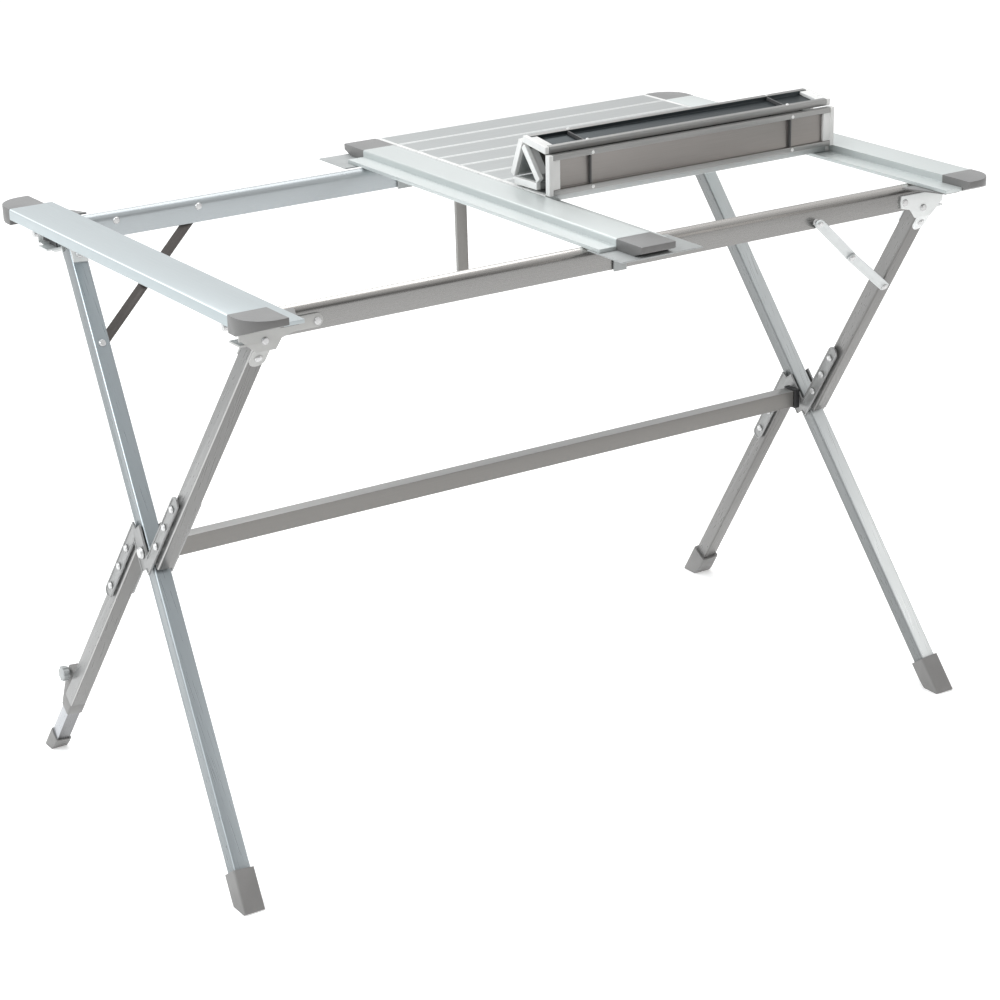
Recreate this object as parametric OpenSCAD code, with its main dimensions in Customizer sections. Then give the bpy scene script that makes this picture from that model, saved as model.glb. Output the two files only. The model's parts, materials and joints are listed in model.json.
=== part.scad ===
// Folding camping table: two end panels and a crossbar sit on two rails, which a pair of
// scissor leg frames holds up. One bay is filled by a roll-up slat top, part rolled back.
// Millimetres. X runs along the table, Y from front to rear, Z up. The origin is on the
// floor, under the middle of the table.

/* [Table] */
// Length of the top, end to end
top_len = 1066; // [1050:2:1080]
// Depth of the top, front to rear
top_dep = 700; // [690:2:720]
// Height of the top above the floor
top_h = 740; // [735:1:745]

/* [Top parts] */
// Thickness of the end panels and of the crossbar
panel_t = 14; // [12:1:15]
// Width of the flat top of an end panel
panel_w = 48.5; // [44:0.5:52]
// Width of the ledge that carries the slats
ledge_w = 26; // [20:1:30]
// Thickness of the ledge
ledge_t = 4.5; // [3:0.5:4.5]
// Radius of the outer corners of the top
corner_r = 38; // [20:1:44]
// Length of the plastic caps at the ends of the panels and crossbar
cap_l = 52; // [46:1:58]
// Width of the flat top of the crossbar
cross_w = 49.5; // [40:0.5:54]
// Distance of the crossbar from the middle of the table
cross_x = 5; // [0:1:10]

/* [Slats] */
// Distance from one slat to the next
slat_pitch = 52.6; // [50:0.1:53]
// Gap between two slats
slat_gap = 1; // [0.8:0.1:2]
// Thickness of a slat
slat_t = 9; // [8:0.5:9]
// Depth of the channel in the underside of a slat
channel_d = 5.5; // [3:0.5:6]
// Width of the solid edge on each side of the channel
channel_edge = 7; // [5:0.5:10]
// Number of slats that lie flat
flat_count = 8; // [4:1:8]

/* [Rails and legs] */
// Width of a rail
rail_w = 20; // [18:1:22]
// Height of a rail
rail_h = 31.5; // [28:0.5:34]
// Distance of each rail from the middle of the table
rail_y = 261; // [258:1:264]
// Side of the square leg tube
leg_w = 22; // [20:0.5:22]
// Wall of the tubes
wall = 1.6; // [1.2:0.1:2]
// Height of the scissor pivot above the floor
pivot_z = 367.3; // [360:0.5:372]
// Lean of each leg from the vertical, seen from the end
leg_lean = 35.33; // [34.5:0.01:36]
// Outward splay of the leg frames, seen from the front
leg_splay = 4.72; // [4:0.01:5]
// Distance of the leg planes from the middle at the pivot height
leg_x = 505.7; // [500:0.1:506]
// Height of the vertical hanger bar under the crossbar
hanger_l = 140; // [100:5:160]

/* [Hidden] */
$fn = 48;
eps = 0.01;
half_len = top_len / 2;
half_dep = top_dep / 2;
panel_z = top_h - panel_t;
ledge_z = panel_z + ledge_t;
panel_in = half_len - panel_w;
cap_y = half_dep - cap_l;
cross_in = cross_x - cross_w / 2;
cross_out = cross_x + cross_w / 2;
body_gap = 0.5;
plate_gap = 2.8;
plate_t = 2.5;
strap_t = 2.4;
strap_w = 13;
rail_top = panel_z - body_gap;
rail_z = rail_top - rail_h / 2;
rail_end = 491;
rivet_r = 3;
rivet_hole = rivet_r + 0.05;
pivot_r = 5;
pivot_hole = pivot_r + 0.08;
corner_round = 2.6;

// The front legs of the crossed pair are cut at the pivot and stand to either side of it.
upper_shift = -25;
lower_shift = 29;
upper_strip = upper_shift + 4;
lower_strip = lower_shift + 2;
near_pivot = 8;
main_top = 400;
upper_top = 404;
upper_end = upper_top + 24;
leg_stop_y = rail_y + rail_w / 2 - 0.2;
leg_stop_z = rail_z - rail_h / 2 - strap_t - 1;
fall = cos(leg_lean) * cos(leg_splay);
main_end = -pivot_z / fall + 12;
lower_end = -(pivot_z + lower_shift * sin(leg_lean) * cos(leg_splay)) / fall + 14;
levelled_end = lower_end + 96;
foot_l = 46;
foot_w = leg_w + 6;
foot_half = foot_w / 2 / cos(leg_lean);
front_foot_y = pivot_z * tan(leg_lean) / cos(leg_splay);
rear_foot_y = front_foot_y + lower_shift / cos(leg_lean);
plate_reach = 121;
plate_r = 8.5;
plate_inner = 9;
web_w = 25;
web_angle = 90 - 2 * leg_lean;
upper_rivets = [37.5, 75, 110];
lower_rivets = [33, 70, 110];

slat_x0 = cross_out + 0.8;
slat_x1 = panel_in - 0.4;
slat_w = slat_pitch - slat_gap;
plug_t = 6;
plug_tongue = 11;
rear_edge = 348.2;
roll_y = rear_edge - flat_count * slat_pitch;
// Angle that each rolled slat turns up from the one before it
roll_angles = [88.9, 83.6, 73.4, 115.1, 129.4];

function roll_sum(k) = k < 0 ? 0 : roll_sum(k - 1) + roll_angles[k];
function roll_step(k) = slat_pitch * [-cos(roll_sum(k)), sin(roll_sum(k))];
function roll_pos(k) = k <= 0 ? [roll_y, top_h] : roll_pos(k - 1) + roll_step(k - 1);

// ---- small helpers -------------------------------------------------------------------

// A box between two opposite corners
module block(lo, hi) {
    translate(lo)
        cube(hi - lo);
}

// A square outline with round corners, about its centre
module soft_square(side, r) {
    square([side, side - 2 * r], center = true);
    square([side - 2 * r, side], center = true);
    for (sx = [-1, 1])
        for (sy = [-1, 1])
            translate([sx * (side / 2 - r), sy * (side / 2 - r)])
                circle(r = r, $fn = 24);
}

// A cylinder along X
module rod_x(x0, x1, r) {
    translate([x0, 0, 0])
        rotate([0, 90, 0])
            cylinder(h = x1 - x0, r = r);
}

// A cylinder about the axis that the leg frames fold on
module fold_pin(x0, x1, r) {
    translate([0, 0, pivot_z])
        rod_x(x0, x1, r);
}

// Both ends of the table, or one of them
module on_side(side) {
    if (side > 0)
        children();
    else
        mirror([1, 0, 0])
            children();
}

// The same thing again, turned half round about the vertical
module both_ways() {
    children();
    rotate([0, 0, 180])
        children();
}

// Axes of a leg: Z up along the leg, Y to the rear, X outward, from the pivot
module leg_axes(lean) {
    translate([leg_x, 0, pivot_z])
        rotate([0, -leg_splay, 0])
            rotate([lean, 0, 0])
                children();
}

module main_axes() leg_axes(-leg_lean) children();

module crossed_axes() leg_axes(leg_lean) children();

// ---- rails ---------------------------------------------------------------------------

module rail_outline(inset) {
    r = rail_w / 2 - inset;
    translate([0, rail_h / 2 - rail_w / 2])
        circle(r = r, $fn = 64);
    translate([-r, -rail_h / 2 + inset])
        square([2 * r, rail_h - rail_w / 2 - inset]);
}

// A rail profile run along X between two places
module rail_run(x0, x1, inset) {
    translate([x0, 0, 0])
        rotate([90, 0, 90])
            linear_extrude(x1 - x0)
                rail_outline(inset);
}

// A rail is a channel, open below
module rail(side) {
    inner_w = rail_w - 2 * wall;
    color("silver")
        translate([0, side * rail_y, rail_z])
            difference() {
                rail_run(-rail_end, rail_end, 0);
                rail_run(-rail_end - 1, rail_end + 1, wall);
                translate([0, 0, -rail_h / 2])
                    cube([2 * rail_end + 2, inner_w, 4 * wall], center = true);
            }
}

module rail_plugs(side) {
    plug_l = 18;
    color("dimgray")
        translate([0, side * rail_y, rail_z])
            both_ways() {
                rail_run(rail_end, rail_end + 3, 0);
                rail_run(rail_end - plug_l, rail_end + eps, wall + 0.1);
            }
}

module rear_rail() rail(1);
module front_rail() rail(-1);
module rear_rail_plugs() rail_plugs(1);
module front_rail_plugs() rail_plugs(-1);

// ---- legs ----------------------------------------------------------------------------

module tube(z0, z1) {
    translate([0, 0, z0])
        linear_extrude(z1 - z0)
            difference() {
                soft_square(leg_w, corner_round);
                square(leg_w - 2 * wall, center = true);
            }
}

module main_leg(side) {
    color("lightgray")
        on_side(side)
            difference() {
                main_axes()
                    tube(main_end, main_top);
                fold_pin(leg_x - 2 * leg_w, leg_x + 2 * leg_w, pivot_r + 0.02);
            }
}

// The space above the web of a front bracket, and the space in front of its leg
module bracket_space() {
    block([-top_len, -top_dep, leg_stop_z], [top_len, 0, top_h]);
    block([-top_len, -top_dep, pivot_z], [top_len, -leg_stop_y, top_h]);
}

// A half of the crossed leg, with the holes for its rivets; its top is cut to fit the bracket
module half_leg(side, shift, z0, z1, strip, holes) {
    color("gainsboro")
        on_side(side)
            difference() {
                crossed_axes()
                    difference() {
                        translate([0, shift, 0])
                            tube(z0, z1);
                        for (z = holes)
                            translate([0, strip, z])
                                rod_x(-leg_w, leg_w, rivet_hole);
                    }
                bracket_space();
            }
}

module left_main_leg() main_leg(-1);
module right_main_leg() main_leg(1);
module left_upper_leg() half_leg(-1, upper_shift, near_pivot, upper_end, upper_strip, upper_rivets);
module right_upper_leg() half_leg(1, upper_shift, near_pivot, upper_end, upper_strip, upper_rivets);
module left_lower_leg() half_leg(-1, lower_shift, levelled_end, -near_pivot, lower_strip, -lower_rivets);
module right_lower_leg() half_leg(1, lower_shift, lower_end, -near_pivot, lower_strip, -lower_rivets);

// Cuts a foot flat at the floor, about the depth y, with its front and rear edges bevelled
module on_floor(y, half) {
    bevel = 4;
    rise = 100;
    intersection() {
        children();
        translate([-top_len, 0, 0])
            rotate([90, 0, 90])
                linear_extrude(2 * top_len)
                    polygon([
                        [y - half + bevel, 0],
                        [y + half - bevel, 0],
                        [y + half - bevel + rise, rise],
                        [y - half + bevel - rise, rise]
                    ]);
    }
}

module foot_sleeve(end) {
    difference() {
        translate([0, 0, end - foot_l])
            linear_extrude(2 * foot_l - 12)
                soft_square(foot_w, corner_round);
        translate([0, 0, end])
            linear_extrude(foot_l)
                soft_square(leg_w + 0.1, corner_round);
    }
}

module front_foot_caps() {
    color("gray")
        on_floor(-front_foot_y, foot_half)
            for (side = [-1, 1])
                on_side(side)
                    main_axes()
                        foot_sleeve(main_end);
}

module rear_foot_cap() {
    color("gray")
        on_floor(rear_foot_y, foot_half)
            crossed_axes()
                translate([0, lower_shift, 0])
                    foot_sleeve(lower_end);
}

// ---- levelling foot on the left rear leg ---------------------------------------------

level_w = leg_w - 2 * wall - 0.8;
level_in = levelled_end + 110;
pad_w = level_w + 4;
bushing_l = 20;
clamp_mid = levelled_end + 33;
clamp_depth = 17;
screw_y = leg_w / 2 + 10;
screw_r = 2.5;
knob_r = 10;
knob_x = 13;

module levelled_axes() {
    mirror([1, 0, 0])
        crossed_axes()
            translate([0, lower_shift, 0])
                children();
}

module levelling_leg() {
    color("silver")
        levelled_axes()
            translate([0, 0, lower_end])
                linear_extrude(level_in - lower_end)
                    difference() {
                        square(level_w, center = true);
                        square(level_w - 2 * wall, center = true);
                    }
}

module levelling_pad() {
    color("gray")
        on_floor(rear_foot_y, pad_w / 2 / cos(leg_lean))
            levelled_axes()
                difference() {
                    translate([0, 0, lower_end - foot_l])
                        linear_extrude(foot_l + 14)
                            soft_square(pad_w, corner_round);
                    translate([0, 0, lower_end])
                        linear_extrude(foot_l)
                            square(level_w + 0.1, center = true);
                }
}

// A bushing in line with the tube, and a block behind it for the screw, joined by an arm
module clamp_collar() {
    block_w = 18;
    arm_y = leg_w / 2 + 0.1;
    color("gray")
        levelled_axes() {
            translate([0, 0, levelled_end - bushing_l - 0.1])
                linear_extrude(bushing_l)
                    difference() {
                        soft_square(leg_w, corner_round);
                        square(level_w + 0.6, center = true);
                    }
            difference() {
                translate([-block_w / 2, 0, 0])
                    rotate([90, 0, 90])
                        linear_extrude(block_w)
                            polygon([
                                [arm_y, clamp_mid + 12],
                                [arm_y + clamp_depth, clamp_mid + 8],
                                [arm_y + clamp_depth, clamp_mid - 10],
                                [arm_y + 6, levelled_end - 8],
                                [arm_y + 2, levelled_end - bushing_l],
                                [arm_y - 1, levelled_end - bushing_l],
                                [arm_y - 1, levelled_end - 0.1],
                                [arm_y, levelled_end - 0.1]
                            ]);
                translate([0, screw_y, clamp_mid])
                    rod_x(-block_w, block_w, screw_r + 0.08);
            }
        }
}

// The clamp screw runs across, behind the tube, with a ribbed wheel on its outer end
module clamp_knob() {
    knob_t = 8;
    flute_r = 2.6;
    color("dimgray")
        levelled_axes()
            translate([0, screw_y, clamp_mid]) {
                rod_x(-knob_t, knob_x + 0.1, screw_r);
                difference() {
                    rod_x(knob_x, knob_x + knob_t, knob_r);
                    for (a = [0 : 45 : 315])
                        rotate([a, 0, 0])
                            translate([0, knob_r + 1, 0])
                                rod_x(knob_x - 1, knob_x + knob_t + 1, flute_r);
                }
            }
}

// ---- crossing plates and pivots --------------------------------------------------------

// The outline of one strip of a plate: square near the pivot and round at its far end
module strip_outline(z0, z1, r, inset) {
    translate([inset - r, z0 + inset])
        square([2 * (r - inset), z1 - z0 - inset]);
    translate([0, z1])
        circle(r = r - inset);
}

// The outline of a crossing plate; x is to the rear and y is up along the crossed leg
module plate_outline(inset) {
    translate([upper_strip, 0])
        strip_outline(-plate_inner, plate_reach, plate_r, inset);
    translate([lower_strip, 0])
        mirror([0, 1])
            strip_outline(-plate_inner, plate_reach, plate_r, inset);
    translate([(upper_strip + lower_strip) / 2, 0])
        rotate(web_angle)
            square([lower_strip - upper_strip, web_w - 2 * inset], center = true);
}

// A crossing plate lies in the YZ plane of the leg axes, with its rim to the outside
module plate(side, outward) {
    rim = 2;
    sunk = 0.7;
    color("silver")
        on_side(side)
            difference() {
                crossed_axes()
                    mirror([outward > 0 ? 0 : 1, 0, 0])
                        translate([leg_w / 2 + plate_gap, 0, 0])
                            difference() {
                                rotate([90, 0, 90])
                                    linear_extrude(plate_t)
                                        plate_outline(0);
                                translate([plate_t - sunk, 0, 0])
                                    rotate([90, 0, 90])
                                        linear_extrude(plate_t)
                                            plate_outline(rim);
                                for (z = upper_rivets)
                                    translate([0, upper_strip, z])
                                        rod_x(-1, plate_t + 1, rivet_hole);
                                for (z = lower_rivets)
                                    translate([0, lower_strip, -z])
                                        rod_x(-1, plate_t + 1, rivet_hole);
                            }
                fold_pin(leg_x - 2 * leg_w, leg_x + 2 * leg_w, pivot_hole);
            }
}

module left_outer_plate() plate(-1, 1);
module left_inner_plate() plate(-1, -1);
module right_outer_plate() plate(1, 1);
module right_inner_plate() plate(1, -1);

plate_out = leg_w / 2 + plate_gap + plate_t;
socket_out = leg_x - plate_out - 2.2;

// A bolt on the fold axis, from the stretcher socket out through both plates and the leg
module pivot_bolt(side) {
    bolt_head = 8;
    head_x = leg_x + plate_out + 0.9;
    color("dimgray")
        on_side(side) {
            fold_pin(socket_out, head_x + 1, pivot_r);
            translate([head_x, 0, pivot_z])
                rotate([0, 90, 0])
                    cylinder(h = 3.2, r1 = bolt_head, r2 = bolt_head - 2.5);
        }
}

module left_pivot_bolt() pivot_bolt(-1);
module right_pivot_bolt() pivot_bolt(1);

// ---- stretcher -------------------------------------------------------------------------

stretch_end = 478;
stretch_y = 20;
stretch_z = 23;

module stretcher_bar() {
    color("silver")
        translate([0, 0, pivot_z])
            difference() {
                cube([2 * stretch_end, stretch_y, stretch_z], center = true);
                cube([top_len, stretch_y - 2 * wall, stretch_z - 2 * wall], center = true);
            }
}

module stretcher_sockets() {
    color("black")
        for (side = [-1, 1])
            on_side(side)
                translate([0, 0, pivot_z]) {
                    block([stretch_end, -stretch_y / 2 - 2, -stretch_z / 2 - 2],
                          [socket_out, stretch_y / 2 + 2, stretch_z / 2 + 2]);
                    block([stretch_end - 20, -stretch_y / 2 + wall + 0.1, -stretch_z / 2 + wall + 0.1],
                          [stretch_end + 1, stretch_y / 2 - wall - 0.1, stretch_z / 2 - wall - 0.1]);
                }
}

// ---- corner brackets -------------------------------------------------------------------

arm_z0 = rail_z - 12;
arm_z1 = rail_z + 4;
bracket_in = 463;
bracket_out = 508;
left_reach = 402;
right_reach = 438;

// The arm of a bracket along the rail, on its outer face, with a round end
module rail_arm(reach) {
    mid = (arm_z0 + arm_z1) / 2;
    r = (arm_z1 - arm_z0) / 2;
    translate([reach + r, -strap_t, arm_z0])
        cube([bracket_out - reach - r, strap_t, 2 * r]);
    translate([reach + r, 0, mid])
        rotate([90, 0, 0])
            cylinder(h = strap_t, r = r);
}

// The plate of a bracket in front of its rail: an arm along the rail and a gusset below it
module bracket_face(reach) {
    low = rail_z - rail_h / 2 - 12;
    rail_arm(reach);
    rotate([90, 0, 0])
        linear_extrude(strap_t)
            polygon([
                [bracket_in - 24, arm_z0],
                [bracket_in - 8, arm_z0 - 4],
                [bracket_in, low],
                [bracket_in + 25, low],
                [bracket_out, arm_z0 + 2],
                [bracket_out, arm_z1],
                [bracket_in - 24, arm_z1]
            ]);
}

// The arm of a bracket on the outer face of a leg, in leg axes, with a round end
module leg_arm(shift, top) {
    r = leg_w / 2 - 1;
    y0 = shift - leg_w / 2 - strap_t - 0.05;
    block([-r, y0, top - 16 + r], [r, y0 + strap_t, top + 12]);
    translate([0, y0, top - 16 + r])
        rotate([-90, 0, 0])
            cylinder(h = strap_t, r = r);
}

// The short tab of a bracket on the inner face of a leg, in leg axes
module leg_tab(shift, low, high) {
    r = leg_w / 2 - 1;
    y0 = shift + leg_w / 2 + 0.05;
    block([-r, y0, low], [r, y0 + strap_t, high]);
}

// A bracket on the outside of the front rail, with a web under the rail
module bracket(reach) {
    web_z = rail_z - rail_h / 2 - 0.05;
    translate([0, -rail_y - rail_w / 2 - 0.05, 0])
        bracket_face(reach);
    block([bracket_in, -rail_y - rail_w / 2 - 0.05 - strap_t, web_z - strap_t],
          [bracket_out, -rail_y + rail_w / 2 + 3, web_z]);
}

module front_bracket(side, reach) {
    color("gainsboro")
        on_side(side) {
            bracket(reach);
            crossed_axes() {
                leg_arm(upper_shift, upper_top);
                leg_tab(upper_shift, upper_top - 22, upper_top + 7);
            }
        }
}

// A rear bracket is the same, seen from behind, and its tab also reaches the inside of the rail
module rear_bracket(side, reach) {
    shelf_z = 700;
    shelf_w = 21;
    shelf_l = 35;
    shelf_x = leg_x - 38;
    color("gainsboro")
        on_side(side) {
            mirror([0, 1, 0])
                bracket(reach);
            main_axes()
                mirror([0, 1, 0]) {
                    leg_arm(0, main_top);
                    leg_tab(0, main_top - 22, main_top + 4);
                }
            block([shelf_x, rail_y - rail_w / 2 - shelf_l, shelf_z],
                  [shelf_x + shelf_w, rail_y - rail_w / 2 - 0.05, shelf_z + strap_t]);
        }
}

module front_left_bracket() front_bracket(-1, left_reach);
module front_right_bracket() front_bracket(1, right_reach);
module rear_left_bracket() rear_bracket(-1, left_reach);
module rear_right_bracket() rear_bracket(1, right_reach);

// ---- braces ----------------------------------------------------------------------------

function unit(v) = v / norm(v);
// The part of a direction that stands square to the line from p to q
function square_to(v, p, q) = unit(v - (v * unit(q - p)) * unit(q - p));

// Ends of each brace and the way that its flat side faces
front_brace_a = [303, -rail_y - rail_w / 2 - 5.5, rail_z - 8];
front_brace_b = [477, -195.6, 575];
front_n = square_to([0, -cos(leg_lean), -sin(leg_lean)], front_brace_a, front_brace_b);
rear_brace_a = [-295.4, rail_y + 0.9, rail_z - 6.7];
rear_brace_b = [-488.3, 163.9, 576.6];
rear_n = square_to([0, cos(leg_lean), -sin(leg_lean)], rear_brace_a, rear_brace_b);
// The knuckle of a brace, as a share of its length; the front one hangs below the line
knuckle_at = 0.5;
knuckle_sag = 2;
front_knuckle = front_brace_a + knuckle_at * (front_brace_b - front_brace_a)
    - knuckle_sag * cross(front_n, unit(front_brace_b - front_brace_a));
rear_knuckle = rear_brace_a + knuckle_at * (rear_brace_b - rear_brace_a);
second_lift = strap_t + 0.1;

// Axes at p: Z along the line to q, Y along the normal n
module strap_axes(p, q, n) {
    along = unit(q - p);
    w = cross(n, along);
    multmatrix([
        [w[0], n[0], along[0], p[0]],
        [w[1], n[1], along[1], p[1]],
        [w[2], n[2], along[2], p[2]],
        [0, 0, 0, 1]
    ])
        children();
}

// A flat strap with round ends and a hole at each end; lift sets it off along its normal
module strap(p, q, n, lift) {
    reach = norm(q - p);
    strap_axes(p, q, n)
        translate([0, lift, 0])
            difference() {
                union() {
                    translate([-strap_w / 2, 0, 0])
                        cube([strap_w, strap_t, reach]);
                    for (z = [0, reach])
                        translate([0, 0, z])
                            rotate([-90, 0, 0])
                                cylinder(h = strap_t, r = strap_w / 2);
                }
                for (z = [0, reach])
                    translate([0, -1, z])
                        rotate([-90, 0, 0])
                            cylinder(h = strap_t + 2, r = rivet_hole);
            }
}

module front_brace_upper() {
    color("silver")
        strap(front_brace_a, front_knuckle, front_n, 0);
}

module front_brace_lower() {
    color("silver")
        strap(front_knuckle, front_brace_b, front_n, second_lift);
}

module rear_brace_upper() {
    color("silver")
        strap(rear_brace_a, rear_knuckle, rear_n, 0);
}

module rear_brace_lower() {
    color("silver")
        strap(rear_knuckle, rear_brace_b, rear_n, second_lift);
}

// ---- rivets ----------------------------------------------------------------------------

// A rivet head that stands up along Z
module rivet_head() {
    cylinder(h = 2, r1 = 5, r2 = 3.6);
}

// A rivet head on a rail or a bracket; it faces the front or the rear
module face_rivet(x, y, z, way) {
    translate([x, y, z])
        rotate([-way * 90, 0, 0])
            rivet_head();
}

// A rivet through a tube of the leg and both plates, with spacers between them
module plate_rivet() {
    spacer_r = 6;
    rod_x(-plate_out - 0.1, plate_out + 0.1, rivet_r);
    for (way = [0, 1])
        mirror([way, 0, 0]) {
            rod_x(leg_w / 2 + 0.05, leg_w / 2 + plate_gap - 0.05, spacer_r);
            translate([plate_out + 0.05, 0, 0])
                rotate([0, 90, 0])
                    rivet_head();
        }
}

// A pin along the normal of a brace, with a head on the far side and maybe one on the near
module brace_pin(p, q, n, z0, z1, both) {
    strap_axes(p, q, n)
        rotate([-90, 0, 0]) {
            translate([0, 0, z0])
                cylinder(h = z1 - z0 + 0.1, r = rivet_r);
            translate([0, 0, z1 + 0.05])
                rivet_head();
            if (both)
                translate([0, 0, z0 + 0.05])
                    mirror([0, 0, 1])
                        rivet_head();
        }
}

// A screw that stands out of the end of a rail
module end_screw(y) {
    head_x = half_len - 19;
    translate([0, y, rail_z + 4]) {
        rod_x(rail_end + 3.05, head_x + 0.1, 2.5);
        translate([head_x, 0, 0])
            rotate([0, 90, 0])
                cylinder(h = 6, r1 = 4.8, r2 = 4);
    }
}

// The three pins of a brace: at the rail, at the knuckle and at the leg
module brace_pins(a, k, b, n) {
    outer = second_lift + strap_t;
    brace_pin(a, b, n, -0.5, strap_t, false);
    brace_pin(k, b, n, -0.1, outer, true);
    brace_pin(b, a, n, -0.8, outer, false);
}

module front_frame_rivets() {
    face = -rail_y - rail_w / 2;
    plate_face = face - strap_t - 0.1;
    color("white") {
        for (side = [-1, 1])
            on_side(side) {
                crossed_axes() {
                    for (z = upper_rivets)
                        translate([0, upper_strip, z])
                            plate_rivet();
                    for (z = lower_rivets)
                        translate([0, lower_strip, -z])
                            plate_rivet();
                    translate([0, upper_shift - leg_w / 2 - strap_t - 0.1, upper_top - 2])
                        rotate([90, 0, 0])
                            rivet_head();
                }
                face_rivet((side > 0 ? right_reach : left_reach) + 7, plate_face, rail_z - 5, -1);
                face_rivet(bracket_in + 13, plate_face, rail_z - 16, -1);
                end_screw(-rail_y + 3);
            }
        face_rivet(front_brace_a[0], face, front_brace_a[2], -1);
        brace_pins(front_brace_a, front_knuckle, front_brace_b, front_n);
    }
}

module rear_frame_rivets() {
    leg_bolt_z = 269;
    rail_bolts = [-409, -293];
    face = rail_y + rail_w / 2;
    plate_face = face + strap_t + 0.1;
    color("white") {
        for (side = [-1, 1])
            on_side(side) {
                face_rivet((side > 0 ? right_reach : left_reach) + 7, plate_face, rail_z - 5, 1);
                face_rivet(bracket_in + 13, plate_face, rail_z - 16, 1);
                main_axes() {
                    translate([0, leg_w / 2 + strap_t + 0.1, main_top - 2])
                        rotate([-90, 0, 0])
                            rivet_head();
                    translate([0, -leg_w / 2 - strap_t - 0.1, main_top - 12])
                        rotate([90, 0, 0])
                            rivet_head();
                }
                end_screw(rail_y - 3);
            }
        on_side(-1)
            main_axes()
                translate([0, -leg_w / 2 - 0.1, leg_bolt_z])
                    rotate([90, 0, 0])
                        rivet_head();
        for (x = rail_bolts)
            face_rivet(x, rail_y - rail_w / 2, rail_z + 5, -1);
        brace_pins(rear_brace_a, rear_knuckle, rear_brace_b, rear_n);
    }
}

// ---- end panels ------------------------------------------------------------------------

// The section of the right end panel in XZ: a flat hollow top and a ledge on its inner side
module panel_section() {
    lip = 2.5;
    difference() {
        union() {
            translate([panel_in, panel_z])
                square([panel_w - lip, panel_t]);
            translate([half_len - lip, panel_z])
                square([lip, panel_t - lip]);
            translate([half_len - lip, top_h - lip])
                circle(r = lip);
            translate([panel_in - ledge_w, panel_z])
                square([ledge_w + lip, ledge_t]);
        }
        translate([panel_in + 2, panel_z + 2])
            square([panel_w - 5, panel_t - 4]);
    }
}

module end_panel(side) {
    run = 2 * cap_y;
    ledge_run = 2 * (half_dep - 14);
    color("lightsteelblue")
        on_side(side) {
            translate([0, run / 2, 0])
                rotate([90, 0, 0])
                    linear_extrude(run)
                        panel_section();
            for (way = [-1, 1])
                translate([0, way * (cap_y + ledge_run / 2) / 2, 0])
                    block([panel_in - ledge_w, -(ledge_run / 2 - cap_y) / 2, panel_z],
                          [panel_in - body_gap, (ledge_run / 2 - cap_y) / 2, ledge_z]);
        }
}

// The outline of a cap from above: square on the inside, round at the outer corner
module cap_outline() {
    r = corner_r;
    translate([panel_in, cap_y])
        square([panel_w - r, cap_l]);
    translate([panel_in, cap_y])
        square([panel_w, cap_l - r]);
    intersection() {
        translate([half_len - r, half_dep - r])
            circle(r = r, $fn = 72);
        translate([panel_in, cap_y])
            square([panel_w, cap_l]);
    }
}

// A cap tapers to its tip: the deep end meets the panel
module cap_wedge(x0, x1) {
    deep = panel_t + 7;
    tip = 8;
    translate([x0, 0, 0])
        rotate([90, 0, 90])
            linear_extrude(x1 - x0)
                polygon([
                    [cap_y - 1, top_h + 1],
                    [cap_y - 1, top_h - deep],
                    [cap_y + cap_l / 3, top_h - deep],
                    [half_dep + 1, top_h - tip],
                    [half_dep + 1, top_h + 1]
                ]);
}

module panel_cap() {
    tongue = 14;
    intersection() {
        translate([0, 0, panel_z - 20])
            linear_extrude(panel_t + 20)
                cap_outline();
        cap_wedge(panel_in - 1, half_len + 1);
    }
    block([panel_in + 2.2, cap_y - tongue, panel_z + 2.2],
          [half_len - 3.2, cap_y + 1, top_h - 2.2]);
    translate([0, 0, panel_z - 2.6])
        linear_extrude(2.2)
            polygon([
                [panel_in + 1, rail_y + rail_w / 2 + 3.5],
                [panel_in - ledge_w - 20, rail_y + rail_w / 2 + 3.5],
                [panel_in - ledge_w + 4, half_dep - 20],
                [panel_in + 1, half_dep - 20]
            ]);
}

module panel_caps(side) {
    color("darkgray")
        on_side(side) {
            panel_cap();
            mirror([0, 1, 0])
                panel_cap();
        }
}

// A thumb knob under the outer edge of a panel
module panel_knob() {
    knob_in = 13;
    knob_y = -206;
    color("black")
        translate([half_len - knob_in, knob_y, panel_z]) {
            translate([0, 0, -9])
                cylinder(h = 7, r = 8);
            translate([0, 0, -4])
                cylinder(h = 4, r = 3);
        }
}

module left_end_panel() end_panel(-1);
module right_end_panel() end_panel(1);
module left_panel_caps() panel_caps(-1);
module right_panel_caps() panel_caps(1);
module right_panel_knob() panel_knob();
module left_panel_knob() rotate([0, 0, 180]) panel_knob();

// ---- crossbar --------------------------------------------------------------------------

// Section of the crossbar in XZ about its own middle: a hollow top and a ledge each side
module cross_section() {
    half = cross_w / 2;
    round_r = 2.5;
    difference() {
        union() {
            translate([-half, 0])
                square([cross_w, panel_t - round_r]);
            translate([-half + round_r, 0])
                square([cross_w - 2 * round_r, panel_t]);
            for (way = [-1, 1])
                translate([way * (half - round_r), panel_t - round_r])
                    circle(r = round_r);
            translate([-half - ledge_w + 2, 0])
                square([cross_w + 2 * ledge_w - 4, ledge_t]);
        }
        translate([-half + 2, 2])
            square([cross_w - 4, panel_t - 4]);
    }
}

module crossbar() {
    color("lightsteelblue")
        translate([cross_x, cap_y, panel_z])
            rotate([90, 0, 0])
                linear_extrude(2 * cap_y)
                    cross_section();
}

latch_z = panel_z - 0.3;
latch_t = 1.8;
latch_left = 50;
latch_right = 66;
latch_y0 = rail_y + rail_w / 2 + 3.5;

module latch_plate(grow) {
    block([cross_x - latch_left - grow, -half_dep + 3 - grow, latch_z - latch_t - grow],
          [cross_x + latch_right + grow, -latch_y0 + grow, latch_z + grow]);
}

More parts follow.
